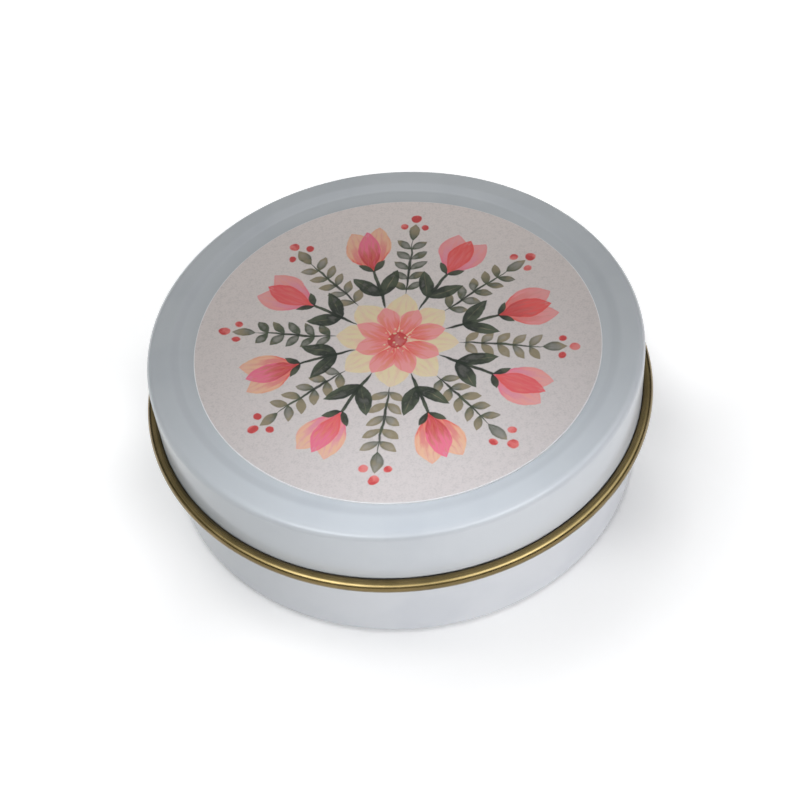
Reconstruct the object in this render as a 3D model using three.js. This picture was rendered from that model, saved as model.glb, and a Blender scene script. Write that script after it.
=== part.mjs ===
// A round slip-lid mint tin: two drawn tinplate shells and a paper label.
// The lid is a shallow cap with a recessed top panel inside a slightly crowned ring. Its skirt ends in a hem
// rolled outwards.
// The base is a straight cup with a raised floor panel and a rim rolled inwards, and the lid slides over it.
// Millimetres, +Z up, the table at z = 0 and the tin's axis on Z.

import * as THREE from 'three';

// Sheet
const sheet = 0.25;
const edgeGap = 0.15;

// Lid
const tinHeight = 20.9;
const lidRadius = 31.6;
const lidDepth = 9.8;
const shoulderInside = 0.8;
const ringWidth = 1.8;
const ringFall = 4;
const panelDepth = 0.4;
const panelFlank = { inside: 1.3, angle: 16 };
const hemRadius = 0.825;

// Base
const slipClearance = 0.4;
const seatClearance = 0.3;
const rimRadius = 0.7;
const footInside = 0.4;
const footWidth = 1.6;
const floorRise = 0.6;
const floorFlank = { inside: 0.6, angle: 32 };

// Label
const labelThickness = 0.15;
const labelMargin = 1.15;
const labelShiftX = 0.3;
const labelShiftY = -0.92;

// Facets
const turnFacets = 64;
const chordError = 0.02;

// Finishes
const whiteEnamel = { color: 0xdbe4ea, roughness: 0.25, metalness: 0.1 };
const labelPaper = { color: 0xf1e4e1, roughness: 0.8, metalness: 0 };

const point = (r, z) => new THREE.Vector2(r, z);
const toRadians = THREE.MathUtils.degToRad;

// Points along an arc of the section, both ends included, fine enough for the chord error.
function arc([centreR, centreZ], radius, fromDegrees, toDegrees) {
  const from = toRadians(fromDegrees);
  const sweep = toRadians(toDegrees) - from;
  const widestStep = 2 * Math.acos(1 - Math.min(chordError / radius, 1));
  const steps = Math.max(1, Math.ceil(Math.abs(sweep) / widestStep));
  return Array.from({ length: steps + 1 }, (_, i) => {
    const angle = from + (sweep * i) / steps;
    return point(centreR + radius * Math.cos(angle), centreZ + radius * Math.sin(angle));
  });
}

// A step pressed into a panel: two opposite bends joined by a sloping flank.
// The bend is limited so that both bends fit into the height of the step.
function pressedStep(height, flank) {
  const lean = toRadians(flank.angle);
  const rise = 1 - Math.cos(lean);
  const inside = Math.min(flank.inside, (height / rise - sheet) / 2);
  const outside = inside + sheet;
  const slope = (height - (inside + outside) * rise) / Math.sin(lean);
  const width = (inside + outside) * Math.sin(lean) + slope * Math.cos(lean);
  return { inside, outside, width, angle: flank.angle };
}

// A rolled edge in section: the sheet leaves its wall at the start angle and rolls round the centre
// until its cut edge stops just short of the same wall. Out along the hollow, back along the outside.
function rolledEdge(centre, radius, startDegrees) {
  const pastFarSide = THREE.MathUtils.radToDeg(Math.acos((edgeGap + sheet - radius) / radius));
  const endDegrees = startDegrees + 180 + pastFarSide;
  return [
    ...arc(centre, radius - sheet, startDegrees, endDegrees),
    ...arc(centre, radius, endDegrees, startDegrees),
  ];
}

// Turn a section, drawn as radius and height, about the tin's axis. It is drawn along the upper side first,
// and turned from its other end so that the faces point out.
function turned(name, section, finish) {
  const geometry = new THREE.LatheGeometry(section.toReversed(), turnFacets).rotateX(Math.PI / 2);
  const mesh = new THREE.Mesh(geometry, new THREE.MeshStandardMaterial(finish));
  mesh.name = name;
  return mesh;
}

// Lid: panel, step, ring that falls a little outwards, rounded shoulder, skirt and rolled hem,
// then back along the inside. The ring is the common tangent of the crest and the shoulder.
const step = pressedStep(panelDepth, panelFlank);
const panelTop = tinHeight - panelDepth;
const shoulderOutside = shoulderInside + sheet;
const crestRadius = lidRadius - shoulderOutside - ringWidth;
const panelRadius = crestRadius - step.width;
const hemBottom = tinHeight - lidDepth;
const fall = toRadians(ringFall);
const shoulderDrop = (step.outside - shoulderOutside - ringWidth * Math.sin(fall)) / Math.cos(fall);

const panelBend = [panelRadius, panelTop + step.inside];
const crestBend = [crestRadius, tinHeight - step.outside];
const shoulder = [lidRadius - shoulderOutside, tinHeight - step.outside + shoulderDrop];
const hem = [lidRadius - sheet + hemRadius, hemBottom + hemRadius];

const lidShell = turned('lid_shell', [
  point(0, panelTop),
  ...arc(panelBend, step.inside, -90, step.angle - 90),
  ...arc(crestBend, step.outside, 90 + step.angle, 90 - ringFall),
  ...arc(shoulder, shoulderOutside, 90 - ringFall, 0),
  ...rolledEdge(hem, hemRadius, 180),
  ...arc(shoulder, shoulderInside, 0, 90 - ringFall),
  ...arc(crestBend, step.inside, 90 - ringFall, 90 + step.angle),
  ...arc(panelBend, step.outside, step.angle - 90, -90),
  point(0, panelTop - sheet),
], whiteEnamel);

// Base: raised floor panel, foot ring, rounded corner, wall and rolled rim, then down the outside.
const riser = pressedStep(floorRise, floorFlank);
const baseRadius = lidRadius - sheet - slipClearance;
const rimTop = tinHeight - sheet - seatClearance;
const footOutside = footInside + sheet;
const footRadius = baseRadius - footOutside - footWidth;
const floorRadius = footRadius - riser.width;

const floorBend = [floorRadius, floorRise - riser.inside];
const footBend = [footRadius, riser.outside];
const corner = [baseRadius - footOutside, footOutside];
const rim = [baseRadius - rimRadius, rimTop - rimRadius];

const baseShell = turned('base_shell', [
  point(0, floorRise + sheet),
  ...arc(floorBend, riser.outside, 90, 90 - riser.angle),
  ...arc(footBend, riser.inside, -90 - riser.angle, -90),
  ...arc(corner, footInside, -90, 0),
  ...rolledEdge(rim, rimRadius, 0),
  ...arc(corner, footOutside, 0, -90),
  ...arc(footBend, riser.outside, -90, -90 - riser.angle),
  ...arc(floorBend, riser.inside, 90 - riser.angle, 90),
  point(0, floorRise),
], whiteEnamel);

// Label: a die-cut paper disc stuck to the lid's panel, a little off its centre.
const labelRadius = panelRadius - labelMargin;
const labelTop = panelTop + labelThickness;

const paperLabel = turned('paper_label', [
  point(0, labelTop),
  point(labelRadius, labelTop),
  point(labelRadius, panelTop),
  point(0, panelTop),
], labelPaper);
paperLabel.position.set(labelShiftX, labelShiftY, 0);

const lid = new THREE.Group().add(lidShell, paperLabel);
const tin = new THREE.Group().add(baseShell, lid);

export default tin;
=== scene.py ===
import math

import bmesh
import bpy
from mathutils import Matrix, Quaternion, Vector


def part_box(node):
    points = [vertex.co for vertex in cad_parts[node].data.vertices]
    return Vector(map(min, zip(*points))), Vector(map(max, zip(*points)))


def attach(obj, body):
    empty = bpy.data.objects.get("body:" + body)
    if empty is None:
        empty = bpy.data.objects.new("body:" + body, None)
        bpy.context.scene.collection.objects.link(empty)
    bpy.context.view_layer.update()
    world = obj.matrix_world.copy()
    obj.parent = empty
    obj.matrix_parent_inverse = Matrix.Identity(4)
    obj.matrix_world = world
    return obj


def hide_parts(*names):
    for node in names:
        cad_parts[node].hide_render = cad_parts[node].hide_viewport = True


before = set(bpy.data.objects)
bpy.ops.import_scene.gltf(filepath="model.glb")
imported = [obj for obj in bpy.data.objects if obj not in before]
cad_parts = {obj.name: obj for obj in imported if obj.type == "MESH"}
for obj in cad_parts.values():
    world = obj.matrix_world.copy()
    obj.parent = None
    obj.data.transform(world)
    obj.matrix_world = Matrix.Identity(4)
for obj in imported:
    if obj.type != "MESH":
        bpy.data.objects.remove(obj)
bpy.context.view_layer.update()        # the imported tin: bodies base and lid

mm = 0.001
lidLow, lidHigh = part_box("lid_shell")
baseLow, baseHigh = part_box("base_shell")
labelLow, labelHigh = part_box("paper_label")


# Node wiring that can be written as sums
class Wire:
    def __init__(self, tree, socket):
        self.tree, self.socket = tree, socket

    def calc(self, operation, *others):
        node = self.tree.nodes.new("ShaderNodeMath")
        node.operation = operation
        for slot, value in zip(node.inputs, (self, *others)):
            plug(slot, value)
        return Wire(self.tree, node.outputs[0])

    def __add__(self, other):
        return self.calc("ADD", other)

    def __sub__(self, other):
        return self.calc("SUBTRACT", other)

    def __mul__(self, other):
        return self.calc("MULTIPLY", other)

    def __truediv__(self, other):
        return self.calc("DIVIDE", other)

    def fade(self, low, high):           # 0 below low, 1 above high, soft at both ends
        node = self.tree.nodes.new("ShaderNodeMapRange")
        node.interpolation_type = "SMOOTHSTEP"
        for slot, value in zip(node.inputs, (self, low, high)):
            plug(slot, value)
        return Wire(self.tree, node.outputs[0])

    def flip(self):                      # 1 where it was 0, 0 where it was 1
        return self * -1.0 + 1.0

    def split(self):
        node = self.tree.nodes.new("ShaderNodeSeparateXYZ")
        plug(node.inputs[0], self)
        return [Wire(self.tree, out) for out in node.outputs]


def plug(slot, value):
    if isinstance(value, Wire):
        value.tree.links.new(value.socket, slot)
    else:
        slot.default_value = value


def newFinish(name):
    finish = bpy.data.materials.new(name)
    finish.use_nodes = True
    return finish, finish.node_tree, finish.node_tree.nodes["Principled BSDF"]


def spotOn(tree, centre=(0, 0, 0), turned=0):      # place on the piece, in millimetres from a centre
    coord = tree.nodes.new("ShaderNodeTexCoord")
    moved = tree.nodes.new("ShaderNodeMapping")
    moved.vector_type = "TEXTURE"                   # moves, turns and scales the pattern itself
    moved.inputs["Location"].default_value = centre
    moved.inputs["Rotation"].default_value = (0, 0, math.radians(turned))
    moved.inputs["Scale"].default_value = (mm, mm, mm)
    tree.links.new(coord.outputs["Object"], moved.inputs["Vector"])
    return Wire(tree, moved.outputs[0])


def reachOf(x, y):                        # distance from the centre
    return (x * x + y * y).calc("SQRT")


def joinUp(x, y, z):
    node = x.tree.nodes.new("ShaderNodeCombineXYZ")
    for slot, value in zip(node.inputs, (x, y, z)):
        plug(slot, value)
    return Wire(x.tree, node.outputs[0])


def noise(spot, scale, detail=2.0, colour=False):
    node = spot.tree.nodes.new("ShaderNodeTexNoise")
    plug(node.inputs["Vector"], spot)
    node.inputs["Scale"].default_value = scale
    node.inputs["Detail"].default_value = detail
    return Wire(spot.tree, node.outputs[1 if colour else 0])


def specks(spot, cell, size, share):      # small dots in a share of the cells, sizes in millimetres
    node = spot.tree.nodes.new("ShaderNodeTexVoronoi")
    plug(node.inputs["Vector"], spot)
    node.inputs["Scale"].default_value = 1 / cell
    near = Wire(spot.tree, node.outputs["Distance"])
    chance = Wire(spot.tree, node.outputs["Color"]).split()[0]
    dot = near.calc("MULTIPLY", -1.0).fade(-size / cell, -0.6 * size / cell)
    return dot * chance.calc("GREATER_THAN", 1 - share)


def shift(vector, other, amount):         # vector moved by other, a noise colour, by up to half the amount
    tree = vector.tree
    level = tree.nodes.new("ShaderNodeVectorMath")
    level.operation = "SUBTRACT"
    plug(level.inputs[0], other)
    level.inputs[1].default_value = (0.5, 0.5, 0.5)
    step = tree.nodes.new("ShaderNodeVectorMath")
    step.operation = "MULTIPLY_ADD"
    tree.links.new(level.outputs[0], step.inputs[0])
    step.inputs[1].default_value = (amount, amount, 0)
    plug(step.inputs[2], vector)
    return Wire(tree, step.outputs[0])


def tint(under, over, amount, blend="MIX"):
    tree = next(value.tree for value in (under, over, amount) if isinstance(value, Wire))
    node = tree.nodes.new("ShaderNodeMix")
    node.data_type = "RGBA"
    node.blend_type = blend
    for slot, value in zip((node.inputs[0], node.inputs[6], node.inputs[7]), (amount, under, over)):
        plug(slot, (*value, 1) if isinstance(value, tuple) else value)
    return Wire(tree, node.outputs[2])


def roughen(shader, height, strength, distance):
    node = height.tree.nodes.new("ShaderNodeBump")
    node.inputs["Strength"].default_value = strength
    node.inputs["Distance"].default_value = distance
    plug(node.inputs["Height"], height)
    height.tree.links.new(node.outputs[0], shader.inputs["Normal"])


# White enamel baked on tinplate: a slightly wavy gloss, faint cloudiness and a few grains of dust.
# Fitted to the main view: the two shells are one paint, and the base's lighter tone is painted light; the slope
# round the panel has a painted shade, the same all round.
enamel = {"lid": (0.605, 0.635, 0.655), "base": (0.66, 0.68, 0.70), "shine": 0.32,
          "cloud": (0.94, 0.945, 0.955), "cloudScale": 0.11, "cloudFade": (0.42, 0.72),
          "dust": (0.10, 0.095, 0.09), "dustCell": 4.0, "dustSize": 0.09, "dustShare": 0.45,
          "slope": (0.92, 0.92, 0.925), "slopeFrom": (26.9, 27.7), "slopeTo": (28.1, 28.9),
          "gloss": 0.2, "smudge": 0.08, "smudgeScale": 0.35,
          "peel": 0.04, "peelScale": 1.1, "peelDepth": 0.05 * mm}


def makeEnamel(part):
    finish, tree, shader = newFinish(part + "Enamel")
    spot = spotOn(tree)
    cloud = noise(spot, enamel["cloudScale"], 3).fade(*enamel["cloudFade"])
    # each shell has its own tone of the one paint: the base's lighter tone is painted light
    paint = tint(enamel[part], enamel["cloud"], cloud, "MULTIPLY")
    dust = specks(spot, enamel["dustCell"], enamel["dustSize"], enamel["dustShare"])
    paint = tint(paint, enamel["dust"], dust)
    if part == "lid":
        x, y, _ = spot.split()
        reach = reachOf(x, y)
        # painted shade on the slope round the panel, the same all round
        slopeShade = reach.fade(*enamel["slopeFrom"]) * reach.fade(*enamel["slopeTo"]).flip()
        paint = tint(paint, enamel["slope"], slopeShade, "MULTIPLY")
    plug(shader.inputs["Base Color"], paint)
    smudge = noise(spot, enamel["smudgeScale"], 4) * enamel["smudge"]
    plug(shader.inputs["Roughness"], smudge + (enamel["gloss"] - 0.5 * enamel["smudge"]))
    shader.inputs["Specular IOR Level"].default_value = enamel["shine"]
    roughen(shader, noise(spot, enamel["peelScale"]), enamel["peel"], enamel["peelDepth"])
    return finish


# Gold lacquer of the sheet's other side, with drawing marks that run round the tin
lacquer = {"deep": (0.145, 0.103, 0.034), "pale": (0.225, 0.162, 0.062), "toneScale": 0.25, "toneFade": (0.3, 0.7),
           "gloss": 0.25, "marks": 0.16, "markPitch": 5.0, "markRun": 2.5, "markBump": 0.12, "markDepth": 0.03 * mm,
           "coat": 0.4, "coatGloss": 0.12,
           "rollShade": (31.8, 32.2), "rollShadeFrom": 31.5, "rollShadeAbove": (11.9, 12.3), "rollShadeTone": (0.7, 0.7, 0.7)}


def makeLacquer():
    finish, tree, shader = newFinish("goldLacquer")
    spot = spotOn(tree)
    x, y, z = spot.split()
    reach = reachOf(x, y)
    around = y.calc("ARCTAN2", x)
    pitch = lacquer["markPitch"]
    marks = noise(joinUp(reach * pitch, around * lacquer["markRun"], z * pitch), 1.0, 3)
    tone = noise(spot, lacquer["toneScale"], 3) * 0.6 + marks * 0.4
    gold = tint(lacquer["deep"], lacquer["pale"], tone.fade(*lacquer["toneFade"]))
    # painted shade: darker on top of the lid's roll, where it leaves the skirt
    rollShade = reach.fade(*lacquer["rollShade"]).flip() * reach.calc("GREATER_THAN", lacquer["rollShadeFrom"])
    rollShade = rollShade * z.fade(*lacquer["rollShadeAbove"])
    plug(shader.inputs["Base Color"], tint(gold, lacquer["rollShadeTone"], rollShade, "MULTIPLY"))
    plug(shader.inputs["Roughness"], marks * lacquer["marks"] + (lacquer["gloss"] - 0.4 * lacquer["marks"]))
    shader.inputs["Metallic"].default_value = 1
    shader.inputs["Coat Weight"].default_value = lacquer["coat"]
    shader.inputs["Coat Roughness"].default_value = lacquer["coatGloss"]
    roughen(shader, marks, lacquer["markBump"], lacquer["markDepth"])
    return finish


# Printed label: mottled paper with a painted medallion of buds and leaves round a rosette.
# The paper has a painted shade, a little deeper towards the front, also fitted to the main view.
paper = {"colour": (0.79, 0.715, 0.68), "mottle": (0.86, 0.865, 0.865), "mottleFade": (0.42, 0.72),
         "shade": (0.86, 0.87, 0.88), "shadeFade": (-24, 24), "cut": (0.92, 0.92, 0.92), "shine": 0.3,
         "grainScale": 4.2, "blotScale": 1.3, "fibreScale": 6.0, "gloss": 0.5, "grainGloss": 0.12,
         "tooth": 0.1, "cutGloss": 0.7, "cutTooth": 0.3, "toothDepth": 0.03 * mm}
paints = {"coral": (0.80, 0.12, 0.105), "pink": (0.84, 0.19, 0.29), "blush": (0.85, 0.33, 0.33),
          "peach": (0.84, 0.50, 0.33), "cream": (0.80, 0.67, 0.42), "heart": (0.58, 0.07, 0.07),
          "leaf": (0.022, 0.028, 0.02), "sage": (0.075, 0.09, 0.058), "olive": (0.30, 0.25, 0.16)}
ink = {"flow": (0.32, 0.68), "edge": (-0.06, 0.12), "pooling": (-0.5, 0.05), "most": 0.98}
medallion = {"stems": 8, "turned": 11.0, "wobble": 1.3, "wobbleScale": 0.13, "tremble": 0.3, "trembleScale": 0.8,
             "washScale": 0.55, "longer": 1.5, "leanFrom": 6.0, "leanBy": 0.16,
             "heart": 1.35, "grains": (0.62, 0.19, 0.8), "grainReach": 2.3,
             "berries": ((22.3, 0.0, 0.72), (20.7, 1.4, 0.55))}
# each stroke begins so far out, may lean from its stem, and has a length, a half width and a belly
strokes = {"sprigLeaf": {"from": 8.6, "to": 18.35, "pitch": 1.95, "tuck": 0.1, "lean": 52, "size": (2.6, 0.62)},
           "sprigStalk": {"from": 7.6, "size": (12.0, 0.2, 0.8)},
           "sprigTip": {"from": 18.2, "size": (3.2, 0.75)},
           "stem": {"from": 5.8, "size": (11.0, 0.26, 0.7)},
           "leaf": {"from": 8.3, "lean": 36, "size": (5.0, 1.0, 0.9)},
           "rib": {"from": 0.5, "size": (3.9, 0.07)},                       # measured along its leaf
           "sidePetal": {"from": 13.0, "lean": 15, "size": (7.8, 1.95, 1.25)},
           "midPetal": {"from": 13.2, "size": (7.0, 1.55, 1.1)},
           "cupLeaf": {"from": 12.9, "lean": 46, "size": (2.5, 0.46)},
           "outerPetal": {"from": 0.6, "size": (7.4, 2.1, 1.5)},
           "innerPetal": {"from": 0.4, "size": (5.6, 1.5, 1.3)}}


def leafShape(along, across, length, width, belly=1.0):      # millimetres inside a leaf's outline, minus outside
    share = along / length
    run = share.calc("MAXIMUM", 0.0).calc("POWER", belly)
    swell = run * run.flip() * (4.0 * width)
    return swell - across.calc("ABSOLUTE") - (share * -1.0).calc("MAXIMUM", 0.0) * 12.0, share


def leaning(along, across, degrees):      # the same place seen along a line that leans away from the stem
    c, s = math.cos(math.radians(degrees)), math.sin(math.radians(degrees))
    side = across.calc("ABSOLUTE")
    return along * c + side * s, side * c - along * s


def strokeLine(name, along, across):      # the page seen along a stroke, from where it begins
    along = along - strokes[name]["from"]
    return leaning(along, across, strokes[name]["lean"]) if "lean" in strokes[name] else (along, across)


def strokeShape(name, along, across):
    return leafShape(*strokeLine(name, along, across), *strokes[name]["size"])


def streaks(along, across, fine):         # brush marks that run along a petal
    return noise(joinUp(along * 0.3, across * fine, 0.0), 1.0, 3)


def brush(page, shape, near, far, share, wash, strength=0.85, pool=0.22):      # one kind of painted stroke
    flow = wash.fade(*ink["flow"])
    pigment = tint(near, far, (share + (flow - 0.5) * 0.8).fade(0.05, 0.95))
    body = shape.fade(*ink["edge"])
    pooled = body * (shape * -1.0).fade(*ink["pooling"])
    cover = body * (flow * 0.38 + (strength - 0.22)) + pooled * pool
    return tint(page, pigment, cover.calc("MINIMUM", ink["most"]))


def chance(number, seed):                 # a value from 0 to 1 of each stem's own
    node = number.tree.nodes.new("ShaderNodeTexWhiteNoise")
    node.noise_dimensions = "2D"
    plug(node.inputs["Vector"], joinUp(number, seed, 0.0))
    return Wire(number.tree, node.outputs["Value"])


def paintMedallion(page, spot):
    m, p = medallion, paints
    moved = shift(spot, noise(spot, m["wobbleScale"], colour=True), m["wobble"])
    moved = shift(moved, noise(spot, m["trembleScale"], colour=True), m["tremble"])
    x, y, _ = moved.split()
    reach = reachOf(x, y)
    sector = math.tau / m["stems"]
    turn = y.calc("ARCTAN2", x) / sector
    wash = noise(moved, m["washScale"], 4)

    def stemLine(offset):                 # fold the page onto one stem
        number = (turn + offset).calc("ROUND")
        angle = (turn + offset - number) * sector
        own = (number + m["stems"]).calc("MODULO", m["stems"])
        return reach * angle.calc("COSINE"), reach * angle.calc("SINE"), own

    along, across, stemNumber = stemLine(0.0)
    between, beside, sprigNumber = stemLine(0.5)
    # each stem is a little longer or shorter, and leans a little
    along = along + (chance(stemNumber, 1.0) - 0.5) * m["longer"]
    across = across + (along - m["leanFrom"]) * (chance(stemNumber, 2.0) - 0.5) * m["leanBy"]
    hue, warmth = stemNumber.calc("PINGPONG", 1.0), chance(stemNumber, 3.0).fade(0.4, 0.6)

    # sprigs between the buds, with pairs of small leaves
    sprig = strokes["sprigLeaf"]
    step = (between - sprig["from"]) / sprig["pitch"]
    pair = (step - step.calc("FLOOR")) * sprig["pitch"] - sprig["tuck"]
    leaf, share = leafShape(*leaning(pair, beside, sprig["lean"]), *sprig["size"])
    inside = between.calc("GREATER_THAN", sprig["from"]) * between.calc("LESS_THAN", sprig["to"])
    share = share + (chance(sprigNumber, 4.0) - 0.6)
    page = brush(page, leaf * inside - inside.flip(), p["sage"], p["olive"], share, wash, 0.9)
    stalk, share = strokeShape("sprigStalk", between, beside)
    page = brush(page, stalk, p["leaf"], p["sage"], share, wash, 0.95)
    tip, share = strokeShape("sprigTip", between, beside)
    page = brush(page, tip, p["sage"], p["olive"], share, wash, 0.9)

    # buds on stems, with a pair of dark leaves each
    stem, share = strokeShape("stem", along, across)
    page = brush(page, stem, p["leaf"], p["sage"], share, wash, 1.1)
    leaf, share = strokeShape("leaf", along, across)
    page = brush(page, leaf, p["leaf"], p["sage"], share * 0.9, wash, 1.1)
    rib, share = strokeShape("rib", *strokeLine("leaf", along, across))
    page = brush(page, rib, p["sage"], p["olive"], share, wash, 0.5)
    petal, share = strokeShape("sidePetal", along, across)
    deep, light = tint(p["coral"], p["pink"], hue), tint(p["blush"], p["peach"], warmth)
    grain = streaks(*strokeLine("sidePetal", along, across), 1.6)
    page = brush(page, petal, deep, light, share, grain, 0.92)
    petal, share = strokeShape("midPetal", along, across)
    deep, light = tint(p["heart"], p["coral"], hue), tint(p["coral"], p["pink"], warmth)
    page = brush(page, petal, deep, light, share, streaks(along, across, 1.8), 0.85)
    leaf, share = strokeShape("cupLeaf", along, across)
    page = brush(page, leaf, p["leaf"], p["sage"], share, wash, 1.1)

    # the rosette's two rows of petals and its heart
    petal, share = strokeShape("outerPetal", between, beside)
    page = brush(page, petal, p["peach"], p["cream"], share, streaks(between, beside, 1.4), 0.92)
    petal, share = strokeShape("innerPetal", along, across)
    page = brush(page, petal, p["coral"], p["blush"], share, streaks(along, across, 1.8), 0.92)
    heart = reach * -1.0 + m["heart"]
    page = brush(page, heart, p["heart"], p["heart"], reach, wash, 0.95)
    grains = specks(spot, *m["grains"]) * (reach * -1.0 + m["grainReach"]).fade(0.0, 0.4)
    page = tint(page, p["cream"], grains * 0.8)

    # berries past the sprigs
    for out, aside, size in m["berries"]:
        gap = reachOf(between - out, beside.calc("ABSOLUTE") - aside)
        page = brush(page, gap * -1.0 + size, p["coral"], p["heart"], wash, wash, 0.95, 0.0)
    return page


def makePaper(centre):
    finish, tree, shader = newFinish("labelPaper")
    spot = spotOn(tree, centre, medallion["turned"])
    grain = noise(spot, paper["grainScale"], 3)
    blot = noise(spot, paper["blotScale"], 3)
    mottle = (grain * 0.6 + blot * 0.4).fade(*paper["mottleFade"])
    page = tint(paper["colour"], paper["mottle"], mottle, "MULTIPLY")
    _, y, _ = spot.split()
    # painted shade: the paper darker towards the front
    page = tint(page, paper["shade"], y.fade(*paper["shadeFade"]).flip(), "MULTIPLY")
    plug(shader.inputs["Base Color"], paintMedallion(page, spot))
    plug(shader.inputs["Roughness"], grain * paper["grainGloss"] + (paper["gloss"] - 0.5 * paper["grainGloss"]))
    shader.inputs["Specular IOR Level"].default_value = paper["shine"]
    roughen(shader, grain, paper["tooth"], paper["toothDepth"])
    return finish


def makeCutPaper():
    finish, tree, shader = newFinish("labelCutEdge")
    fibre = noise(spotOn(tree), paper["fibreScale"], 3)
    plug(shader.inputs["Base Color"], tint(paper["cut"], paper["colour"], fibre * 0.3))
    shader.inputs["Roughness"].default_value = paper["cutGloss"]
    roughen(shader, fibre, paper["cutTooth"], paper["toothDepth"])
    return finish


lidEnamel, baseEnamel, lacquerFinish = makeEnamel("lid"), makeEnamel("base"), makeLacquer()
labelMiddle = ((labelLow.x + labelHigh.x) / 2, (labelLow.y + labelHigh.y) / 2, 0)
paperFinish, cutFinish = makePaper(labelMiddle), makeCutPaper()
print("finishes made")


# Pressed sheet: a pen walks along the enamelled side of the section, and the section is spun round the axis
sheet = {"gauge": 0.25 * mm, "edgeGap": 0.05 * mm, "hold": 0.1 * mm, "weld": 0.001 * mm,
         "bendSteps": 8, "curlSteps": 40, "roundSteps": 192}


def penDown(bm, height):
    return bm.verts.new((0, 0, height)), 0.0


def runOn(bm, pen, length):               # straight run, held flat near both ends
    vert, heading = pen
    along = Vector((math.cos(heading), 0, math.sin(heading)))
    for leg in (sheet["hold"], length - 2 * sheet["hold"], sheet["hold"]):
        vert = bmesh.ops.extrude_vert_indiv(bm, verts=[vert])["verts"][0]
        bmesh.ops.translate(bm, vec=along * leg, verts=[vert])
    return vert, heading


def bend(bm, pen, radius, degrees, steps):      # plus turns left, seen from the front
    vert, heading = pen
    side = math.copysign(radius, degrees)
    middle = vert.co + Vector((-math.sin(heading), 0, math.cos(heading))) * side
    turned = math.radians(degrees)
    made = bmesh.ops.spin(bm, geom=[vert], cent=middle, axis=(0, -1, 0), angle=turned, steps=steps)
    last = [part for part in made["geom_last"] if isinstance(part, bmesh.types.BMVert)][0]
    return last, heading + turned


def stepSlope(height, inside, degrees):   # slope length and whole width of a pressed step
    lean = math.radians(degrees)
    both = 2 * inside + sheet["gauge"]
    slope = (height - both * (1 - math.cos(lean))) / math.sin(lean)
    return slope, both * math.sin(lean) + slope * math.cos(lean)


def curlSweep(radius):                    # a rolled edge ends just short of its own wall
    return 180 + math.degrees(math.acos((sheet["edgeGap"] + sheet["gauge"] - radius) / radius))


def spinShell(bm, name, enamelFinish, outside):
    bmesh.ops.spin(bm, geom=bm.verts[:] + bm.edges[:], cent=(0, 0, 0), axis=(0, 0, 1), angle=math.tau,
                   steps=sheet["roundSteps"], use_merge=True)
    bmesh.ops.remove_doubles(bm, verts=bm.verts, dist=sheet["weld"])
    bmesh.ops.recalc_face_normals(bm, faces=bm.faces)
    middle = min(bm.faces, key=lambda face: face.calc_center_median().xy.length)
    if middle.normal.z * outside < 0:
        bmesh.ops.reverse_faces(bm, faces=bm.faces)
    for face in bm.faces:
        face.smooth = True
    piece = meshPiece(bm, name, (enamelFinish, lacquerFinish))
    wall = piece.modifiers.new("sheetGauge", "SOLIDIFY")
    wall.thickness = sheet["gauge"]
    wall.offset = -1
    wall.use_even_offset = True
    wall.material_offset = 1              # the other side and the cut edge are lacquered
    wall.material_offset_rim = 1
    return piece


def meshPiece(bm, name, finishes):
    mesh = bpy.data.meshes.new(name)
    bm.to_mesh(mesh)
    bm.free()
    for finish in finishes:
        mesh.materials.append(finish)
    piece = bpy.data.objects.new(name, mesh)
    bpy.context.scene.collection.objects.link(piece)
    return piece


# Lid: recessed panel, crowned ring, rounded shoulder, skirt and a hem rolled outwards
lid = {"panelDepth": 0.4 * mm, "flankBend": 1.3 * mm, "flank": 16, "ring": 1.8 * mm, "ringFall": 4,
       "shoulder": 1.05 * mm, "hem": 0.825 * mm}


def makeLid():
    slope, stepWidth = stepSlope(lid["panelDepth"], lid["flankBend"], lid["flank"])
    skirtRadius = lidHigh.x - 2 * lid["hem"] + sheet["gauge"]
    crest, fall = lid["flankBend"] + sheet["gauge"], math.radians(lid["ringFall"])
    # how far the shoulder's centre lies from the crest's, up or down
    drop = (crest - lid["shoulder"] - lid["ring"] * math.sin(fall)) / math.cos(fall)
    ringRun = lid["ring"] * math.cos(fall) - drop * math.sin(fall)
    bm = bmesh.new()
    pen = penDown(bm, lidHigh.z - lid["panelDepth"])
    pen = runOn(bm, pen, skirtRadius - lid["shoulder"] - lid["ring"] - stepWidth)
    pen = bend(bm, pen, lid["flankBend"], lid["flank"], sheet["bendSteps"])
    pen = runOn(bm, pen, slope)
    pen = bend(bm, pen, crest, -lid["flank"] - lid["ringFall"], sheet["bendSteps"])
    pen = runOn(bm, pen, ringRun)
    pen = bend(bm, pen, lid["shoulder"], lid["ringFall"] - 90, 2 * sheet["bendSteps"])
    pen = runOn(bm, pen, pen[0].co.z - lidLow.z - lid["hem"])
    bend(bm, pen, lid["hem"] - sheet["gauge"], curlSweep(lid["hem"]), sheet["curlSteps"])
    return spinShell(bm, "lidShell", lidEnamel, 1)


lidShell = makeLid()
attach(lidShell, "lid")
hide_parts("lid_shell")
print("lid pressed")


# Base: raised floor, foot ring, wall and a rim rolled inwards
base = {"floorRise": 0.6 * mm, "flankBend": 0.6 * mm, "flank": 32, "foot": 1.6 * mm,
        "corner": 0.65 * mm, "rim": 0.7 * mm}


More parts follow.
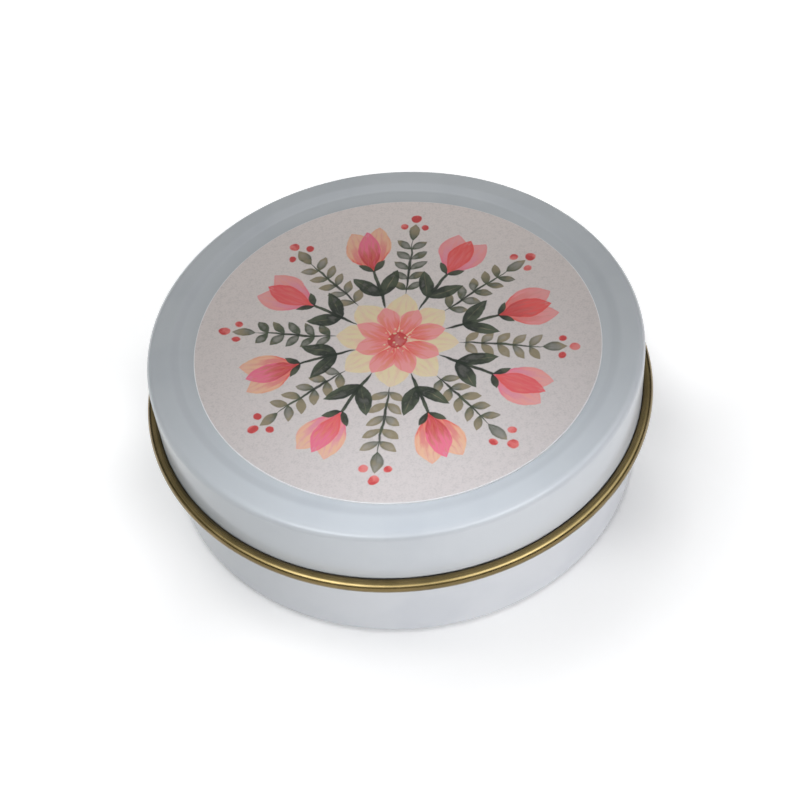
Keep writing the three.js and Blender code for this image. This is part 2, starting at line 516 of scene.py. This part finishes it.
def makeBase():
    slope, stepWidth = stepSlope(base["floorRise"], base["flankBend"], base["flank"])
    bm = bmesh.new()
    pen = penDown(bm, base["floorRise"])
    pen = runOn(bm, pen, baseHigh.x - base["corner"] - base["foot"] - stepWidth)
    pen = bend(bm, pen, base["flankBend"], -base["flank"], sheet["bendSteps"])
    pen = runOn(bm, pen, slope)
    pen = bend(bm, pen, base["flankBend"] + sheet["gauge"], base["flank"], sheet["bendSteps"])
    pen = runOn(bm, pen, base["foot"])
    pen = bend(bm, pen, base["corner"], 90, 2 * sheet["bendSteps"])
    pen = runOn(bm, pen, baseHigh.z - base["rim"] - base["corner"])
    bend(bm, pen, base["rim"], curlSweep(base["rim"]), sheet["curlSteps"])
    return spinShell(bm, "baseShell", baseEnamel, -1)


baseShell = makeBase()
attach(baseShell, "base")
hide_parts("base_shell")
print("base pressed")


# Label: a die-cut disc, a little off the lid's centre, with a white cut edge
label = {"edgeRound": 0.12 * mm, "edgeSteps": 3, "segments": 192}


def makeLabel():
    bm = bmesh.new()
    middle = (labelLow + labelHigh) / 2
    radius = (labelHigh.x - labelLow.x) / 2
    disc = bmesh.ops.create_circle(bm, cap_ends=True, segments=label["segments"], radius=radius)
    bmesh.ops.translate(bm, vec=(middle.x, middle.y, labelLow.z), verts=disc["verts"])
    raised = bmesh.ops.extrude_face_region(bm, geom=bm.faces[:], use_keep_orig=True)["geom"]
    top = [part for part in raised if isinstance(part, bmesh.types.BMVert)]
    bmesh.ops.translate(bm, vec=(0, 0, labelHigh.z - labelLow.z), verts=top)
    rim = [edge for edge in bm.edges if all(vert in top for vert in edge.verts)]
    bmesh.ops.bevel(bm, geom=rim, offset=label["edgeRound"], offset_type="OFFSET", affect="EDGES",
                    segments=label["edgeSteps"], profile=0.5, material=-1)
    bmesh.ops.recalc_face_normals(bm, faces=bm.faces)
    for face in bm.faces:
        face.material_index = 0 if face.normal.z > 0.99 else 1
    return meshPiece(bm, "paperLabel", (paperFinish, cutFinish))


paperLabel = makeLabel()
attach(paperLabel, "lid")
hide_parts("paper_label")
print("label cut")


# Floor: white to the eye and in the gloss, with the tin's own shadow left on it, deepened with painted shadow in
# its glow and lifted in spots with painted light
floor = {"size": 40.0, "colour": (0.86, 0.86, 0.86), "contactShadow": (30.6, 31.5), "contactTone": 0.4, "least": 0.05,
         "oval": 1.08, "middle": (-2.0, 3.0), "lifts": ((27, 40, 0.27, 0.56), (38, 80, 0.0, 0.3)),
         "pools": ((27, -16, 12, -0.13), (39, 11, 15, 0.13), (-26, -24, 14, -0.07), (-39, 8, 12, 0.1))}


def makeFloor():
    bm = bmesh.new()
    bmesh.ops.create_grid(bm, x_segments=2, y_segments=2, size=floor["size"] / 2)
    finish = bpy.data.materials.new("paleFloor")
    finish.use_nodes = True
    tree = finish.node_tree
    tree.nodes.clear()
    matte = tree.nodes.new("ShaderNodeBsdfDiffuse")
    matte.inputs["Color"].default_value = (*floor["colour"], 1)
    ray = tree.nodes.new("ShaderNodeLightPath")
    seen = Wire(tree, ray.outputs["Is Camera Ray"]) + Wire(tree, ray.outputs["Is Glossy Ray"])
    seen = seen + Wire(tree, ray.outputs["Is Transmission Ray"])
    glow = tree.nodes.new("ShaderNodeEmission")
    x, y, _ = spotOn(tree).split()

    def reachFrom(right, back, oval=1.0):
        return ((x - right) * (x - right) / oval ** 2 + (y - back) * (y - back)).calc("SQRT")

    darkest = floor["contactTone"]
    # painted contact shadow: the glow falls away right at the tin's foot
    contactShadow = reachFrom(0, 0).fade(*floor["contactShadow"]) * (1 - darkest) + darkest
    lift = 0.0
    # painted shadow: the floor's glow is weaker near the tin, in rings
    for near, far, low, high in floor["lifts"]:                   # rings round the shadow
        lift = reachFrom(*floor["middle"], floor["oval"]).fade(near, far) * (high - low) + low + lift
    # painted shadow where a spot is darker, painted light where it is lighter
    for right, back, size, amount in floor["pools"]:              # soft spots, lighter or darker
        lift = reachFrom(right, back).fade(0, size) * -amount + amount + lift
    plug(glow.inputs["Strength"], seen.calc("MINIMUM", 1.0) * lift.calc("MAXIMUM", floor["least"]) * contactShadow)
    both = tree.nodes.new("ShaderNodeAddShader")
    tree.links.new(matte.outputs[0], both.inputs[0])
    tree.links.new(glow.outputs[0], both.inputs[1])
    surface = tree.nodes.new("ShaderNodeOutputMaterial")
    tree.links.new(both.outputs[0], surface.inputs["Surface"])
    return meshPiece(bm, "paleFloor", (finish,))


makeFloor()
print("floor laid")


# Light: a dim room with a bright band and a glow overhead in its reflections, low soft boxes for the walls,
# a soft key from behind on the left that throws the shadow, and spots that lift the lid's front and far side
room = {"colour": (0.92, 0.96, 1.0), "strength": 0.1, "backdrop": 1.0,
        "bandFrom": (23, 37), "bandTo": (41, 66), "overhead": (48, 68), "overheadGlow": 0.8,
        "behind": 0.5, "lobes": ((14, 74, 118, 3.1), (-38, 10, 30, 5.0), (41, 10, 30, 4.2))}
lamps = {
    "boxRight": {"turn": 36, "height": 7, "away": 0.5, "size": (0.3, 0.14), "glow": 9.8,
                 "colour": (0.985, 0.97, 1.0)},
    "boxLeft": {"turn": -44, "height": 9, "away": 0.5, "size": (0.3, 0.14), "glow": 3.0,
                "colour": (0.95, 0.98, 1.0)},
    "boxBack": {"turn": 168, "height": 9, "away": 0.5, "size": (0.3, 0.14), "glow": 3.8,
                "colour": (1.0, 1.0, 1.0)},
    "keyLeft": {"turn": -121, "height": 58, "away": 0.5, "size": (0.3, 0.3), "glow": 2.55,
                "colour": (1.0, 1.0, 1.0)},
    "spotBack": {"turn": 180, "height": 66, "away": 0.6, "size": (0.02, 0.02), "glow": 2.2,
                 "colour": (0.93, 0.975, 1.06), "cone": 7.6, "aim": (1 * mm, -40 * mm), "only": True},
    "spotFar": {"turn": 15, "height": 62, "away": 0.6, "size": (0.02, 0.02), "glow": 0.24,
                "colour": (1.0, 0.985, 0.97), "cone": 7.0, "aim": (10 * mm, 31 * mm), "only": True},
}
aimHeight = 15 * mm


def addLamp(name, lamp):                  # turn is measured from the camera's side, towards the right
    turn, height = math.radians(lamp["turn"]), math.radians(lamp["height"])
    away = Vector((math.sin(turn) * math.cos(height), -math.cos(turn) * math.cos(height), math.sin(height)))
    light = bpy.data.lights.new(name, "SPOT" if "cone" in lamp else "AREA")
    wide, tall = lamp["size"]
    if "cone" in lamp:                    # glow is the light that reaches the tin
        light.spot_size, light.spot_blend = math.radians(lamp["cone"]), 1
        light.shadow_soft_size = wide
        light.energy = lamp["glow"] * 4 * math.pi * lamp["away"] ** 2
    else:                                 # glow is the brightness of the lamp's own face
        light.shape = "RECTANGLE"
        light.size, light.size_y = wide, tall
        light.energy = lamp["glow"] * 4 * wide * tall
    light.color = lamp["colour"]
    box = bpy.data.objects.new(name, light)
    box.location = Vector((*lamp.get("aim", (0, 0)), aimHeight)) + away * lamp["away"]
    box.rotation_mode = "QUATERNION"
    box.rotation_quaternion = (-away).to_track_quat("-Z", "Y")
    box.visible_camera = box.visible_glossy = False
    bpy.context.scene.collection.objects.link(box)
    if lamp.get("only"):                  # lights the tin and leaves the floor out
        box.light_linking.receiver_collection = bpy.data.collections.new(name)
        for piece in (lidShell, paperLabel, baseShell):
            box.light_linking.receiver_collection.objects.link(piece)


def makeRoom():
    world = bpy.data.worlds.new("dimRoom")
    world.use_nodes = True
    tree = world.node_tree
    coord = tree.nodes.new("ShaderNodeTexCoord")
    x, y, z = Wire(tree, coord.outputs["Generated"]).split()
    rise = z.calc("ARCSINE") / math.radians(1)
    turn = x.calc("ARCTAN2", y * -1.0) / math.radians(1)
    glow = room["behind"]
    for middle, inner, outer, amount in room["lobes"]:
        glow = (turn - middle).calc("ABSOLUTE").fade(inner, outer).flip() * amount + glow
    band = rise.fade(*room["bandFrom"]) * rise.fade(*room["bandTo"]).flip() * glow
    band = rise.fade(*room["overhead"]) * room["overheadGlow"] + band
    ray = tree.nodes.new("ShaderNodeLightPath")
    band = band * Wire(tree, ray.outputs["Is Glossy Ray"])
    through = Wire(tree, ray.outputs["Is Transmission Ray"])
    seen = Wire(tree, ray.outputs["Is Camera Ray"]).calc("MAXIMUM", through)
    background = tree.nodes["Background"]
    plug(background.inputs["Color"], tint(room["colour"], (1.0, 1.0, 1.0), seen))
    strength = band + seen * (room["backdrop"] - room["strength"]) + room["strength"]
    plug(background.inputs["Strength"], strength)
    bpy.context.scene.world = world


for name, lamp in lamps.items():
    addLamp(name, lamp)
makeRoom()
print("lit")


# Camera: looks down at the tin, slightly rolled; the target lands a little above the frame's middle
view = {"away": 202.14 * mm, "height": 48.45, "roll": -5.874, "target": 12 * mm, "lens": 69.45, "sensor": 36,
        "nearest": 0.01, "tiltDown": 0.758, "panRight": 0.058}


def addCamera():
    height = math.radians(view["height"])
    target = Vector((0, 0, view["target"]))
    place = target + Vector((0, -math.cos(height), math.sin(height))) * view["away"]
    turn = (target - place).to_track_quat("-Z", "Y")
    turn = turn @ Quaternion((0, 0, 1), math.radians(view["roll"]))
    turn = turn @ Quaternion((1, 0, 0), math.radians(-view["tiltDown"]))
    turn = turn @ Quaternion((0, 1, 0), math.radians(-view["panRight"]))
    camera = bpy.data.objects.new("camera", bpy.data.cameras.new("camera"))
    camera.data.sensor_width = view["sensor"]
    camera.data.lens = view["lens"]
    camera.data.clip_start = view["nearest"]
    camera.location = place
    camera.rotation_mode = "QUATERNION"
    camera.rotation_quaternion = turn
    bpy.context.scene.collection.objects.link(camera)
    bpy.context.scene.camera = camera


addCamera()
bpy.context.scene.view_settings.view_transform = "Standard"
